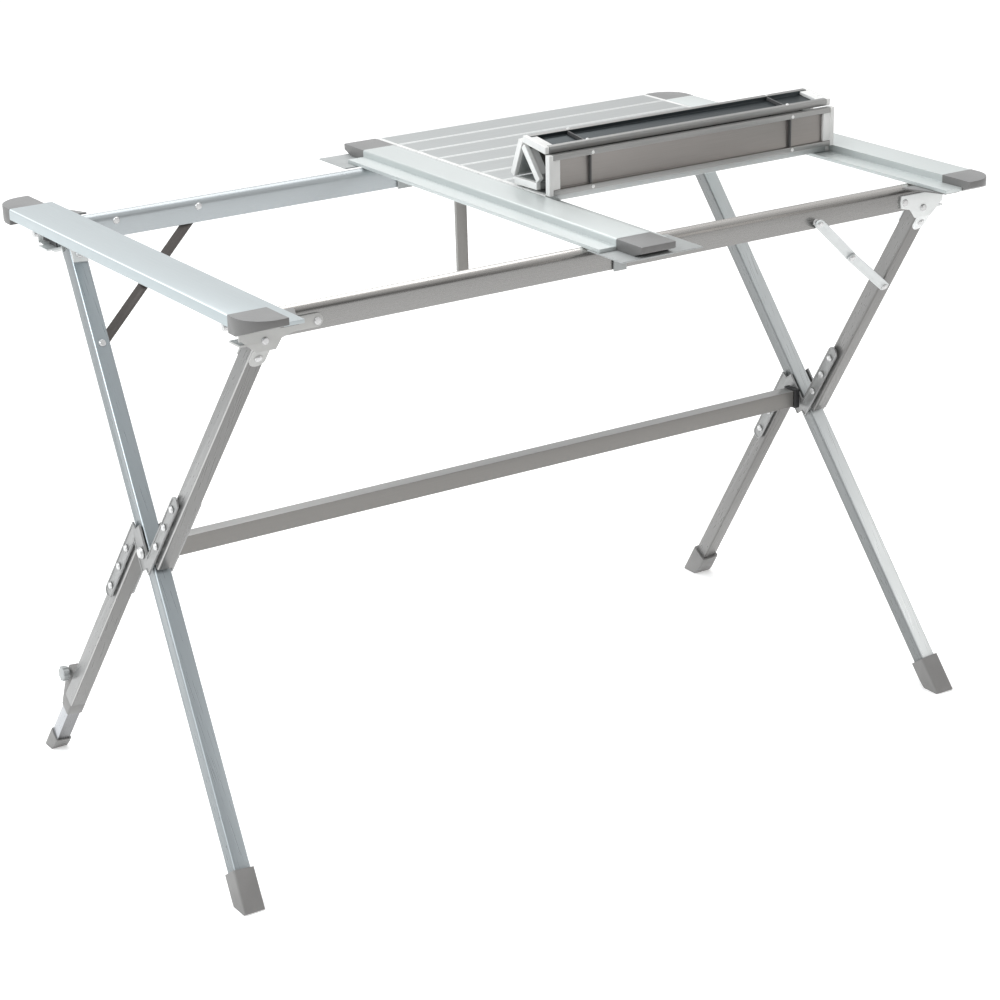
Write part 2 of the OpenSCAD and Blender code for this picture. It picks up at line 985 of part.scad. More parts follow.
module cross_cap() {
    difference() {
        intersection() {
            block([cross_in, cap_y, panel_z - 20], [cross_out, half_dep, top_h]);
            cap_wedge(cross_in - 1, cross_out + 1);
        }
        mirror([0, 1, 0])
            latch_plate(0.05);
        rotate([0, 0, 180])
            translate([-2 * cross_x, 0, 0])
                latch_plate(0.05);
    }
    block([cross_in + 2.2, cap_y - 14, panel_z + 2.2], [cross_out - 2.2, cap_y + 1, top_h - 2.2]);
}

module crossbar_caps() {
    color("darkgray") {
        cross_cap();
        mirror([0, 1, 0])
            cross_cap();
    }
}

module crossbar_latches() {
    color("gray") {
        latch_plate(0);
        translate([2 * cross_x, 0, 0])
            rotate([0, 0, 180])
                latch_plate(0);
    }
}

// Cheeks that locate the crossbar on the rails: one in front of the front rail, and one on
// each side of the rear rail
module crossbar_clips() {
    clip_low = rail_z - rail_h / 2 - 2;
    clip_t = 2.4;
    front_x = cross_x - 11;
    front_w = 18;
    rear_x = cross_x - 1;
    rear_w = 22;
    cheek_gap = rail_w / 2 + 0.6;
    color("dimgray") {
        block([front_x, -rail_y - cheek_gap - clip_t, clip_low],
              [front_x + front_w, -rail_y - cheek_gap, panel_z - 0.05]);
        for (y = [rail_y - cheek_gap - clip_t, rail_y + cheek_gap])
            block([rear_x, y, clip_low],
                  [rear_x + rear_w, y + clip_t, panel_z - 0.05]);
    }
}

module hanger_bar() {
    hanger_y = 88;
    hanger_t = 6;
    half = 8;
    color("silver")
        block([cross_x - half, hanger_y, panel_z - hanger_l],
              [cross_x + half, hanger_y + hanger_t, panel_z - 0.05]);
}

// ---- slat top --------------------------------------------------------------------------

// A slat runs to the front from its hinge line, which is at its top rear edge
module slat_outline() {
    difference() {
        translate([-slat_gap / 2 - slat_w, -slat_t])
            square([slat_w, slat_t]);
        translate([-slat_gap / 2 - slat_w + channel_edge, -slat_t - 1])
            square([slat_w - 2 * channel_edge, channel_d + 1]);
    }
}

module slat() {
    color("silver")
        translate([slat_x0 + plug_t, 0, 0])
            rotate([90, 0, 90])
                linear_extrude(slat_x1 - slat_x0 - 2 * plug_t)
                    slat_outline();
}

module slat_plugs() {
    y0 = -slat_gap / 2 - slat_w;
    color("white")
        for (end = [0, 1]) {
            face = end == 0 ? slat_x0 : slat_x1 - plug_t;
            tongue = end == 0 ? slat_x0 + plug_t : slat_x1 - plug_t - plug_tongue;
            block([face, y0, -slat_t], [face + plug_t, y0 + slat_w, 0]);
            block([tongue - eps, y0 + channel_edge + 0.05, -slat_t + 1.2],
                  [tongue + plug_tongue + eps, y0 + slat_w - channel_edge - 0.05,
                   -slat_t + channel_d - 0.05]);
        }
}

module flat_places() {
    for (i = [0 : flat_count - 1])
        translate([0, rear_edge - i * slat_pitch, top_h])
            children();
}

// Place of the rolled slat k, counted from the first that leaves the flat
module rolled_place(k) {
    translate([0, roll_pos(k)[0], roll_pos(k)[1]])
        rotate([-roll_sum(k), 0, 0])
            children();
}

module flat_slats() flat_places() slat();
module flat_slat_plugs() flat_places() slat_plugs();
module slat_9() rolled_place(0) slat();
module slat_10() rolled_place(1) slat();
module slat_11() rolled_place(2) slat();
module slat_12() rolled_place(3) slat();
module slat_13() rolled_place(4) slat();
module slat_9_plugs() rolled_place(0) slat_plugs();
module slat_10_plugs() rolled_place(1) slat_plugs();
module slat_11_plugs() rolled_place(2) slat_plugs();
module slat_12_plugs() rolled_place(3) slat_plugs();
module slat_13_plugs() rolled_place(4) slat_plugs();

rear_rail();
front_rail();
rear_rail_plugs();
front_rail_plugs();
stretcher_bar();
stretcher_sockets();
left_main_leg();
right_main_leg();
left_upper_leg();
right_upper_leg();
left_lower_leg();
right_lower_leg();
left_outer_plate();
left_inner_plate();
right_outer_plate();
right_inner_plate();
left_pivot_bolt();
right_pivot_bolt();
rear_left_bracket();
rear_right_bracket();
front_left_bracket();
front_right_bracket();
rear_brace_upper();
rear_brace_lower();
front_brace_upper();
front_brace_lower();
rear_frame_rivets();
front_frame_rivets();
front_foot_caps();
rear_foot_cap();
levelling_leg();
levelling_pad();
clamp_collar();
clamp_knob();
left_end_panel();
right_end_panel();
left_panel_caps();
right_panel_caps();
left_panel_knob();
right_panel_knob();
crossbar();
crossbar_caps();
crossbar_latches();
crossbar_clips();
hanger_bar();
flat_slats();
flat_slat_plugs();
slat_9();
slat_10();
slat_11();
slat_12();
slat_13();
slat_9_plugs();
slat_10_plugs();
slat_11_plugs();
slat_12_plugs();
slat_13_plugs();
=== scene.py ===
import json
import math

import bmesh
import bpy
from mathutils import Matrix, Vector

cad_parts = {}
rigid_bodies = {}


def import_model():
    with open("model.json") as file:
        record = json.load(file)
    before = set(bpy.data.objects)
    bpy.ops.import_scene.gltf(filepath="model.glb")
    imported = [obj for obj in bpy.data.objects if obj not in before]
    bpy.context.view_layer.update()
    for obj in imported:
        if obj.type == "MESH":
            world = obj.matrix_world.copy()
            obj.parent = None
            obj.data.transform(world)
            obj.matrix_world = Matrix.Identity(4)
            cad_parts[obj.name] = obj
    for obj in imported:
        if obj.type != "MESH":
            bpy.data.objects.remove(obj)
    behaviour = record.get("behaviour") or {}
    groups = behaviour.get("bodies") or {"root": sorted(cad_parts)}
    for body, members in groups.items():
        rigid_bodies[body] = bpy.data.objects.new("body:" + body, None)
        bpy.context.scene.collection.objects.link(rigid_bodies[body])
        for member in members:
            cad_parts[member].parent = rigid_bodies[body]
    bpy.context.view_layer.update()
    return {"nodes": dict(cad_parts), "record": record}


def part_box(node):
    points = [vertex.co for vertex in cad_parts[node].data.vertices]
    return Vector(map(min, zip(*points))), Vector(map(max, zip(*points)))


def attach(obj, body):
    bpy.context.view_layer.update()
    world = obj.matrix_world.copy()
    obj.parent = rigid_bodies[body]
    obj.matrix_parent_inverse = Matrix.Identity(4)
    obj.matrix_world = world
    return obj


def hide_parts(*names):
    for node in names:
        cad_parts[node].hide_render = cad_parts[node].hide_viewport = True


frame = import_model()
BODY_OF = {n: b for b, nodes in frame["record"]["behaviour"]["bodies"].items() for n in nodes}
SLOT_OF = {s["node"]: s["material_slot"] for s in frame["record"]["subparts"]}
JOINT_OF = {j["child"]: j for j in frame["record"]["behaviour"]["joints"]}

# ---- sizes, directions and the places of the slats --------------------------------------------

MM = 0.001
LEAN = math.radians(35.33)
ALONG_X = Vector((1, 0, 0))
ALONG_Y = Vector((0, 1, 0))
UP = Vector((0, 0, 1))
MAIN_LEG = Vector((0, math.sin(LEAN), math.cos(LEAN)))
CROSSED_LEG = Vector((0, -math.sin(LEAN), math.cos(LEAN)))

TOP_Z = 740 * MM
SLAT_T = 9 * MM
SLAT_PITCH = 52.6 * MM
SLAT_REAR = 348.2 * MM
CHANNEL_D = 5.5 * MM
CHANNEL_EDGE = 7 * MM
FLAT_COUNT = 8
LAST_SLAT = 13
TOP_OF_ROLL = 10
# Each hinge after the roll's first may turn this many degrees further than the roll needs
SPARE_TURN = 0.2


def slat_frames():
    """For each slat, from the rear of the table on: its hinge line, turn about X and body."""
    places = [(SLAT_REAR - i * SLAT_PITCH, TOP_Z, 0.0, "slat_mat") for i in range(FLAT_COUNT)]
    first = FLAT_COUNT + 1
    turn = 0.0
    for number in range(first, LAST_SLAT + 1):
        body = f"mat_slat_{number}"
        joint = JOINT_OF[body]
        spare = SPARE_TURN if number > first else 0
        turn += joint["range_deg"][1] - spare
        places.append((joint["pos_m"][1], joint["pos_m"][2], math.radians(turn), body))
    return places


SLATS = slat_frames()


def slat_matrix(index):
    """From slat axes (X along, Y to the rear, Z up from the face) to the frame."""
    y, z, turn, _ = SLATS[index]
    return Matrix.Translation((0, y, z)) @ Matrix.Rotation(-turn, 4, "X")


# ---- material building blocks -----------------------------------------------------------------

# How far the noise is drawn out along a part, and its scale
LINES = (60, 900)
CLOUDS = (4, 14)
# The bump of the fine lines: its strength and its depth
LINE_BUMP = (0.06, 0.2 * MM)


def new_material(name):
    mat = bpy.data.materials.new(name)
    mat.use_nodes = True
    nodes = mat.node_tree.nodes
    shader = nodes["Principled BSDF"]
    return mat, nodes, mat.node_tree.links, shader


def maths(nodes, links, operation, *values):
    """A Math node, whose inputs are sockets or plain numbers."""
    node = nodes.new("ShaderNodeMath")
    node.operation = operation
    for socket, value in zip(node.inputs, values):
        if isinstance(value, bpy.types.NodeSocket):
            links.new(value, socket)
        else:
            socket.default_value = value
    return node.outputs[0]


def grain_vector(nodes, links, along, stretch):
    """Object coordinates turned so that their X runs with the part, and squeezed along it."""
    coords = nodes.new("ShaderNodeTexCoord")
    mapping = nodes.new("ShaderNodeMapping")
    mapping.vector_type = "TEXTURE"
    mapping.inputs["Rotation"].default_value = along.to_track_quat("X", "Z").to_euler()
    mapping.inputs["Scale"].default_value = (stretch, 1, 1)
    links.new(coords.outputs["Object"], mapping.inputs["Vector"])
    return mapping.outputs["Vector"]


def noise(nodes, links, vector, scale, detail=3.0, rough=0.55):
    tex = nodes.new("ShaderNodeTexNoise")
    tex.inputs["Scale"].default_value = scale
    tex.inputs["Detail"].default_value = detail
    tex.inputs["Roughness"].default_value = rough
    links.new(vector, tex.inputs["Vector"])
    return tex.outputs["Fac"]


def grain(nodes, links, along, kind, detail):
    """Noise that is drawn out along the part."""
    stretch, scale = kind
    return noise(nodes, links, grain_vector(nodes, links, along, stretch), scale, detail)


def ramp(nodes, links, fac, low, high, start=0.3, end=0.7):
    """Runs from low to high while the input runs from start to end."""
    node = nodes.new("ShaderNodeMapRange")
    node.inputs["From Min"].default_value = start
    node.inputs["From Max"].default_value = end
    node.inputs["To Min"].default_value = low
    node.inputs["To Max"].default_value = high
    links.new(fac, node.inputs["Value"])
    return node.outputs["Result"]


def colour_mix(nodes, links, fac, dark, light):
    node = nodes.new("ShaderNodeMix")
    node.data_type = "RGBA"
    node.inputs["A"].default_value = (*dark, 1)
    node.inputs["B"].default_value = (*light, 1)
    links.new(fac, node.inputs["Factor"])
    return node.outputs["Result"]


def bump(nodes, links, height, shader, strength, distance):
    node = nodes.new("ShaderNodeBump")
    node.inputs["Strength"].default_value = strength
    node.inputs["Distance"].default_value = distance
    links.new(height, node.inputs["Height"])
    links.new(node.outputs["Normal"], shader.inputs["Normal"])


def scaled(colour, by):
    return tuple(min(1.0, c * by) for c in colour)


def varied(nodes, links, fac, colour, below, above):
    """A colour that varies from one share of itself to another."""
    return colour_mix(nodes, links, fac, scaled(colour, below), scaled(colour, above))


def facing(nodes, links, way):
    """How far a face looks toward a direction of the part, from -1 to 1."""
    coords = nodes.new("ShaderNodeTexCoord")
    dot = nodes.new("ShaderNodeVectorMath")
    dot.operation = "DOT_PRODUCT"
    dot.inputs[1].default_value = way
    links.new(coords.outputs["Normal"], dot.inputs[0])
    return dot.outputs["Value"]


def tint(nodes, links, tone, fac, colour):
    """Multiplies a tone by a colour, by the given amount."""
    node = nodes.new("ShaderNodeMix")
    node.data_type = "RGBA"
    node.blend_type = "MULTIPLY"
    node.inputs["B"].default_value = (*colour, 1)
    links.new(tone, node.inputs["A"])
    links.new(fac, node.inputs["Factor"])
    return node.outputs["Result"]


def paint_light_and_shade(nodes, links, tone, painted_light_and_shade):
    """Painted light and shade: tints faces by how far they look each way, from none at start to
    full at end.
    """
    for way, shade, start, end in painted_light_and_shade:
        amount = ramp(nodes, links, facing(nodes, links, way), 0, 1, start, end)
        tone = tint(nodes, links, tone, amount, shade)
    return tone


def drawn_metal(name, colour, along, rough=0.36, metallic=0.75, spread=0.05, painted_light_and_shade=()):
    """Extruded or rolled aluminium: fine lines along the part, soft cloudy patches and painted
    light and shade.
    """
    mat, nodes, links, shader = new_material(name)
    lines = grain(nodes, links, along, LINES, 2.0)
    clouds = grain(nodes, links, along, CLOUDS, 4.0)
    streaks = ramp(nodes, links, lines, 0.35, 1.0)
    patches = ramp(nodes, links, clouds, 0.6, 1.0)
    both = maths(nodes, links, "MULTIPLY", streaks, patches)
    tone = varied(nodes, links, both, colour, 1 - spread, 1 + spread)
    tone = paint_light_and_shade(nodes, links, tone, painted_light_and_shade)
    links.new(tone, shader.inputs["Base Color"])
    links.new(ramp(nodes, links, lines, rough - 0.06, rough + 0.07), shader.inputs["Roughness"])
    shader.inputs["Metallic"].default_value = metallic
    bump(nodes, links, lines, shader, *LINE_BUMP)
    return mat


def zinc_plate(name, colour, rough=0.38):
    """Pressed steel with bright plating, faintly mottled."""
    mat, nodes, links, shader = new_material(name)
    coords = nodes.new("ShaderNodeTexCoord").outputs["Object"]
    patches = ramp(nodes, links, noise(nodes, links, coords, 60, 3.0, 0.5), 0, 1)
    polish = ramp(nodes, links, patches, rough - 0.02, rough + 0.02, 0, 1)
    links.new(varied(nodes, links, patches, colour, 0.96, 1.03), shader.inputs["Base Color"])
    links.new(polish, shader.inputs["Roughness"])
    shader.inputs["Metallic"].default_value = 0.45
    return mat


def moulded(name, colour, rough=0.5, texture=0.35, coat=0.0, painted_light_and_shade=()):
    """Moulded plastic with a fine spark-eroded grain, and painted light and shade where given."""
    mat, nodes, links, shader = new_material(name)
    coords = nodes.new("ShaderNodeTexCoord").outputs["Object"]
    fine = noise(nodes, links, coords, 2600, 2.0, 0.6)
    flow = ramp(nodes, links, noise(nodes, links, coords, 22, 3.0, 0.5), 0, 1)
    tone = paint_light_and_shade(nodes, links, varied(nodes, links, flow, colour, 0.92, 1.08), painted_light_and_shade)
    links.new(tone, shader.inputs["Base Color"])
    links.new(ramp(nodes, links, fine, rough - 0.08, rough + 0.08), shader.inputs["Roughness"])
    shader.inputs["Coat Weight"].default_value = coat
    bump(nodes, links, fine, shader, texture, 0.15 * MM)
    return mat


SLAT_FACE = (0.44, 0.458, 0.458)
# Colour added as a painted highlight beside each joint
PAINTED_JOINT_HIGHLIGHT = (0.3, 0.3, 0.295)
# The painted highlight beside a joint: how wide it is at its full strength, and with its fading
JOINT_LINE = 2.5 * MM
JOINT_FADE = 5 * MM


def slat_top(name, index):
    """The top face of slats: brushed along their length, with a painted highlight at each joint."""
    mat, nodes, links, shader = new_material(name)
    lines = grain(nodes, links, ALONG_X, LINES, 2.0)
    coords = nodes.new("ShaderNodeTexCoord")
    place = slat_matrix(index)
    to_slat = nodes.new("ShaderNodeMapping")
    to_slat.vector_type = "TEXTURE"
    to_slat.inputs["Location"].default_value = place.to_translation()
    to_slat.inputs["Rotation"].default_value = place.to_euler()
    links.new(coords.outputs["Object"], to_slat.inputs["Vector"])
    split = nodes.new("ShaderNodeSeparateXYZ")
    links.new(to_slat.outputs["Vector"], split.inputs[0])
    # Painted highlight: a bright line on the top faces beside each joint, where a rounded edge
    # catches light
    half = SLAT_PITCH / 2
    across = maths(nodes, links, "WRAP", split.outputs["Y"], SLAT_PITCH, 0)
    from_middle = maths(nodes, links, "SUBTRACT", across, half)
    away = maths(nodes, links, "ABSOLUTE", from_middle)
    by_joint = ramp(nodes, links, away, 0, 1, half - JOINT_FADE, half - JOINT_LINE)
    on_top = ramp(nodes, links, facing(nodes, links, place.to_3x3() @ UP), 0, 1, 0.5, 0.9)
    both = maths(nodes, links, "MULTIPLY", by_joint, on_top)
    bright = colour_mix(nodes, links, both, (0, 0, 0), PAINTED_JOINT_HIGHLIGHT)
    brushed = varied(nodes, links, ramp(nodes, links, lines, 0, 1), SLAT_FACE, 0.94, 1.05)
    tone = nodes.new("ShaderNodeMix")
    tone.data_type = "RGBA"
    tone.blend_type = "ADD"
    tone.inputs["Factor"].default_value = 1
    links.new(brushed, tone.inputs["A"])
    links.new(bright, tone.inputs["B"])
    links.new(tone.outputs["Result"], shader.inputs["Base Color"])
    shader.inputs["Roughness"].default_value = 0.36
    shader.inputs["Metallic"].default_value = 0.55
    bump(nodes, links, lines, shader, *LINE_BUMP)
    return mat


# ---- the materials ----------------------------------------------------------------------------

PANEL = (0.465, 0.51, 0.525)
LEG = (0.335, 0.37, 0.39)
CROSSED = (0.27, 0.27, 0.268)
# Lighter copy of the panel colour: painted light, for the crossbar and the right end panel
PAINTED_LIGHT_PANEL = (0.605, 0.64, 0.635)
# Lighter copy of the leg colour: painted light, for the right main leg
PAINTED_LIGHT_LEG = (0.56, 0.585, 0.59)
# Darker copy of the crossed leg colour: painted shade, for the right half legs
SHADED_LEG = (0.225, 0.222, 0.218)
# Directions of the caps' rims and the panel's outer edge, which get painted highlights
CAP_RIM = Vector((-0.3, -0.64, 0.7))
OUTER_EDGE = Vector((-0.71, 0, 0.71))
# Strength of the painted highlight along the panel's outer edge
PANEL_GLINT = (1.8, 1.75, 1.75)
# Directions of the legs' rounded edges, and the strength of the painted highlight on them
EDGE_UP = Vector((-0.71, -0.58, 0.40))
EDGE_DOWN = Vector((-0.71, -0.58, -0.40))
EDGE_GLINT = (2.1, 2.1, 2.1)
RAIL = (0.28, 0.276, 0.27)
# Faces that look down and to the front get painted shade
DOWN_FRONT = Vector((0, -0.82, -0.57))
# Strengths of painted shade on side faces: a light one and a deep one
SHADED_SIDE = (0.74, 0.73, 0.72)
DEEP_SIDE_SHADE = (0.4, 0.4, 0.4)
# Cosines between which painted shade and highlights fade in: over a flat face, and over one rounded
# edge
FACE = (0.4, 0.8)
ROUND_EDGE = (0.93, 0.98)


def painted_side_shade(shade):
    """The same painted shade on the two faces of a leg that look along the table."""
    return (ALONG_X, shade, *FACE), (-ALONG_X, shade, *FACE)


materials = {
    # Painted shade on the outer side and a painted highlight along the outer edge
    "panel": drawn_metal(
        "panel_aluminium", PANEL, ALONG_Y, rough=0.38, metallic=0.4, spread=0.03,
        painted_light_and_shade=((-ALONG_X, (0.94, 0.95, 0.95), 0.85, 0.95), (OUTER_EDGE, PANEL_GLINT, 0.9, 0.98)),
    ),
    # A lighter copy of the panel: painted light, with painted shade on the faces that look to -X
    "painted_light_panel": drawn_metal(
        "painted_light_panel_aluminium", PAINTED_LIGHT_PANEL, ALONG_Y, rough=0.38, metallic=0.4, spread=0.03,
        painted_light_and_shade=((-ALONG_X, (0.86, 0.87, 0.87), 0.6, 0.9),),
    ),
    # Painted shade low on the rounded top, and a strong painted highlight on its upper part
    "rail": drawn_metal(
        "rail_aluminium", RAIL, ALONG_X, rough=0.26, metallic=0.85,
        painted_light_and_shade=((UP, (0.68, 0.67, 0.66), 0.02, 0.3), (UP, (2.9, 2.9, 2.9), 0.35, 0.9)),
    ),
    # A lighter copy of the rail colour: painted light on the rear rail
    "rear_rail": drawn_metal("painted_light_rear_rail_aluminium", (0.42, 0.45, 0.465), ALONG_X),
    # Painted shade on the side faces and a painted highlight on the rounded edge
    "main_leg": drawn_metal(
        "main_leg_aluminium", LEG, MAIN_LEG, rough=0.32, metallic=0.6,
        painted_light_and_shade=(*painted_side_shade(SHADED_SIDE), (EDGE_UP, EDGE_GLINT, *ROUND_EDGE)),
    ),
    # A lighter copy of the leg: painted light on the right main leg, with painted shade on its side
    # faces
    "painted_light_leg": drawn_metal(
        "painted_light_leg_aluminium", PAINTED_LIGHT_LEG, MAIN_LEG, rough=0.32, metallic=0.5,
        painted_light_and_shade=painted_side_shade(DEEP_SIDE_SHADE),
    ),
    # Painted shade on the faces that look down and to the front, and a painted highlight on the
    # rounded edge
    "crossed_leg": drawn_metal(
        "crossed_leg_aluminium", CROSSED, CROSSED_LEG, rough=0.32, metallic=0.6,
        painted_light_and_shade=((DOWN_FRONT, (0.70, 0.69, 0.68), *FACE), (EDGE_DOWN, EDGE_GLINT, *ROUND_EDGE)),
    ),
    # A darker copy of the crossed leg: painted shade on the right half legs, and more on their
    # down-front faces
    "shaded_leg": drawn_metal(
        "shaded_leg_aluminium", SHADED_LEG, CROSSED_LEG, rough=0.32, metallic=0.6,
        painted_light_and_shade=((DOWN_FRONT, (0.78, 0.77, 0.76), *FACE),),
    ),
    # Painted shade on the front face and painted light on the top
    "bar": drawn_metal(
        "bar_aluminium", (0.30, 0.295, 0.285), ALONG_X, rough=0.34,
        painted_light_and_shade=((-ALONG_Y, SHADED_SIDE, *FACE), (UP, (1.35, 1.37, 1.4), 0.5, 0.9)),
    ),
    "flat_slat": slat_top("slat_aluminium", 0),
    "rolled_slat": drawn_metal("slat_edges", (0.30, 0.30, 0.295), ALONG_X, rough=0.34, spread=0.08),
    "channel": drawn_metal("slat_channel", (0.275, 0.26, 0.248), ALONG_X, rough=0.42, spread=0.1),
    # Near black: painted shade in the recess of slat 10, the top of the roll
    "painted_shade_channel": drawn_metal("slat_channel_shade", (0.05, 0.06, 0.065), ALONG_X, spread=0.1),
    # Painted shade on the faces that look down and to the front
    "levelling_leg": drawn_metal(
        "inner_leg", (0.44, 0.45, 0.47), CROSSED_LEG, rough=0.3,
        painted_light_and_shade=((DOWN_FRONT, (0.5, 0.49, 0.48), *FACE),),
    ),
    "bracket": zinc_plate("bright_zinc", (0.71, 0.725, 0.72)),
    # A darker copy of the bracket zinc: painted shade on the front left bracket
    "shaded_bracket": zinc_plate("painted_shade_zinc", (0.43, 0.43, 0.42)),
    "plate": zinc_plate("plate_zinc", (0.30, 0.302, 0.30)),
    "brace": zinc_plate("brace_zinc", (0.58, 0.6, 0.6)),
    # A near-black copy of the brace zinc: painted shade on the rear brace
    "rear_brace": zinc_plate("brace_shade", (0.11, 0.10, 0.095)),
    "fastener": zinc_plate("rivet_steel", (0.60, 0.60, 0.60), rough=0.25),
    "latch": moulded("latch_plastic", (0.36, 0.375, 0.375), rough=0.4, texture=0.2),
    # Painted shade on the faces that don't look up, and a painted highlight on the rim
    "cap_plastic": moulded(
        "cap_plastic", (0.21, 0.21, 0.21), rough=0.38,
        painted_light_and_shade=((UP, (0.7, 0.69, 0.68), 0.6, 0.2), (CAP_RIM, EDGE_GLINT, 0.92, 0.98)),
    ),
    "foot_plastic": moulded("foot_plastic", (0.21, 0.206, 0.202)),
    "dark_plastic": moulded("dark_plastic", (0.075, 0.075, 0.077), rough=0.4),
    "black": moulded("black_plastic", (0.014, 0.014, 0.015), rough=0.45),
    "plug": moulded("white_plastic", (0.72, 0.72, 0.71), rough=0.4, texture=0.15, coat=0.1),
}

# The nodes whose finish isn't the plain one of their slot; several are lighter copies with painted
# light and darker copies with painted shade
OWN_FINISH = {
    "left_main_leg": "main_leg",
    "right_main_leg": "painted_light_leg",
    "left_upper_leg": "crossed_leg",
    "left_lower_leg": "crossed_leg",
    "right_upper_leg": "shaded_leg",
    "right_lower_leg": "shaded_leg",
    "crossbar": "painted_light_panel",
    "right_end_panel": "painted_light_panel",
    "front_left_bracket": "shaded_bracket",
    "clamp_knob": "latch",
    "rear_rail": "rear_rail",
    "rear_brace_upper": "rear_brace",
    "rear_brace_lower": "rear_brace",
}


def material_of(node):
    return materials[OWN_FINISH.get(node, SLOT_OF[node])]


# ---- mesh work --------------------------------------------------------------------------------

# Width of the rounded edges in each slot
EDGE = {
    "panel": 0.8 * MM,
    "rail": 0.5 * MM,
    "leg": 0.5 * MM,
    "bar": 0.9 * MM,
    "flat_slat": 0.7 * MM,
    "rolled_slat": 0.7 * MM,
    "levelling_leg": 0.8 * MM,
    "bracket": 0.5 * MM,
    "plate": 0.3 * MM,
    "brace": 0.5 * MM,
    "fastener": 0.4 * MM,
    "latch": 0.4 * MM,
    "cap_plastic": 2.2 * MM,
    "foot_plastic": 3.2 * MM,
    "dark_plastic": 0.8 * MM,
    "black": 1.0 * MM,
    "plug": 0.5 * MM,
}
# Points nearer than this are one point, and faces that turn less than this are one face
SAME_POINT = 0.02 * MM
SAME_FACE = math.radians(0.6)
SHARP_EDGE = math.radians(32)


def link(name, mesh, body, mat):
    """Makes an object that rides on a body, with one material."""
    piece = bpy.data.objects.new(name, mesh)
    bpy.context.scene.collection.objects.link(piece)
    piece.data.materials.clear()
    piece.data.materials.append(mat)
    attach(piece, body)
    return piece


def soften(piece, width, segments=3):
    """Rounds every sharp edge, and shades the rest smooth."""
    for face in piece.data.polygons:
        face.use_smooth = True
    mod = piece.modifiers.new("edge_round", "BEVEL")
    mod.width = width
    mod.segments = segments
    mod.limit_method = "ANGLE"
    mod.angle_limit = SHARP_EDGE
    mod.miter_outer = "MITER_ARC"
    mod.use_clamp_overlap = True
    mod.harden_normals = True


def finished_copy(node):
    """A copy of a CAD node with clean faces and rounded edges, which stands for it."""
    mesh = frame["nodes"][node].data.copy()
    work = bmesh.new()
    work.from_mesh(mesh)
    bmesh.ops.remove_doubles(work, verts=work.verts, dist=SAME_POINT)
    bmesh.ops.dissolve_limit(
        work, angle_limit=SAME_FACE, verts=work.verts, edges=work.edges, delimit={"SEAM"}
    )
    bmesh.ops.recalc_face_normals(work, faces=work.faces)
    work.to_mesh(mesh)
    work.free()
    slot = SLOT_OF[node]
    piece = link(node + "_finish", mesh, BODY_OF[node], material_of(node))
    soften(piece, EDGE[slot])
    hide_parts(node)


for node in frame["nodes"]:
    finished_copy(node)

# ---- details of the roll ----------------------------------------------------------------------

# Places of the two divider strips, as shares of a slat's length
DIVIDERS = (0.13, 0.85)
DIVIDER_HALF = 1.0 * MM
DIVIDER_GAP = 1.2 * MM
DIVIDER_LOW = -SLAT_T + 0.8 * MM
DIVIDER_HIGH = -SLAT_T + CHANNEL_D - 0.15 * MM
DIVIDER_EDGE = 0.3 * MM
BEAD_R = 2.4 * MM
BEAD_ASIDE = 2.5 * MM
BEAD_Z = -SLAT_T + 0.4 * MM
BEAD_YS = (-4.2 * MM, -SLAT_PITCH + 4.6 * MM)
# How far a face's middle may lie from the top or the underside of its slat to be on it
NEAR = 0.3 * MM


def in_channel(spot):
    """Whether a point in slat axes is in the recess of the slat's underside."""
    inside = CHANNEL_EDGE - MM < -spot.y < SLAT_PITCH - CHANNEL_EDGE + MM
    return inside and -SLAT_T + NEAR < spot.z < -MM


def mark_slat_faces():
    """The top of each rolled slat and the recess in its underside carry their own materials."""
    for index in range(FLAT_COUNT, len(SLATS)):
        number = index + 1
        piece = bpy.data.objects[f"slat_{number}_finish"]
        # The recess of the top slat gets painted shade
        inside = "painted_shade_channel" if number == TOP_OF_ROLL else "channel"
        piece.data.materials.append(materials[inside])
        piece.data.materials.append(slat_top(f"slat_{number}_aluminium", index))
        to_slat = slat_matrix(index).inverted()
        for face in piece.data.polygons:
            spot = to_slat @ face.center
            if in_channel(spot):
                face.material_index = 1
            elif spot.z > -NEAR:
                face.material_index = 2


def add_to_roll(name, body, build, mat, place, width=0.0):
    """Makes a mesh with the given builder in slat axes, and lets it ride on its slat."""
    work = bmesh.new()
    build(work)
    bmesh.ops.transform(work, matrix=place, verts=work.verts)
    bmesh.ops.recalc_face_normals(work, faces=work.faces)
    mesh = bpy.data.meshes.new(name)
    work.to_mesh(mesh)
    work.free()
    piece = link(name, mesh, body, mat)
    if width:
        soften(piece, width, segments=2)
    else:
        for face in mesh.polygons:
            face.use_smooth = True


def box_builder(lo, hi):
    size = Vector(hi) - Vector(lo)
    centre = (Vector(hi) + Vector(lo)) / 2
    matrix = Matrix.Translation(centre) @ Matrix.Diagonal((*size, 1))
    return lambda work: bmesh.ops.create_cube(work, size=1, matrix=matrix)


def bead_builder(centre):
    matrix = Matrix.Translation(centre)
    return lambda work: bmesh.ops.create_icosphere(
        work, subdivisions=3, radius=BEAD_R, matrix=matrix
    )


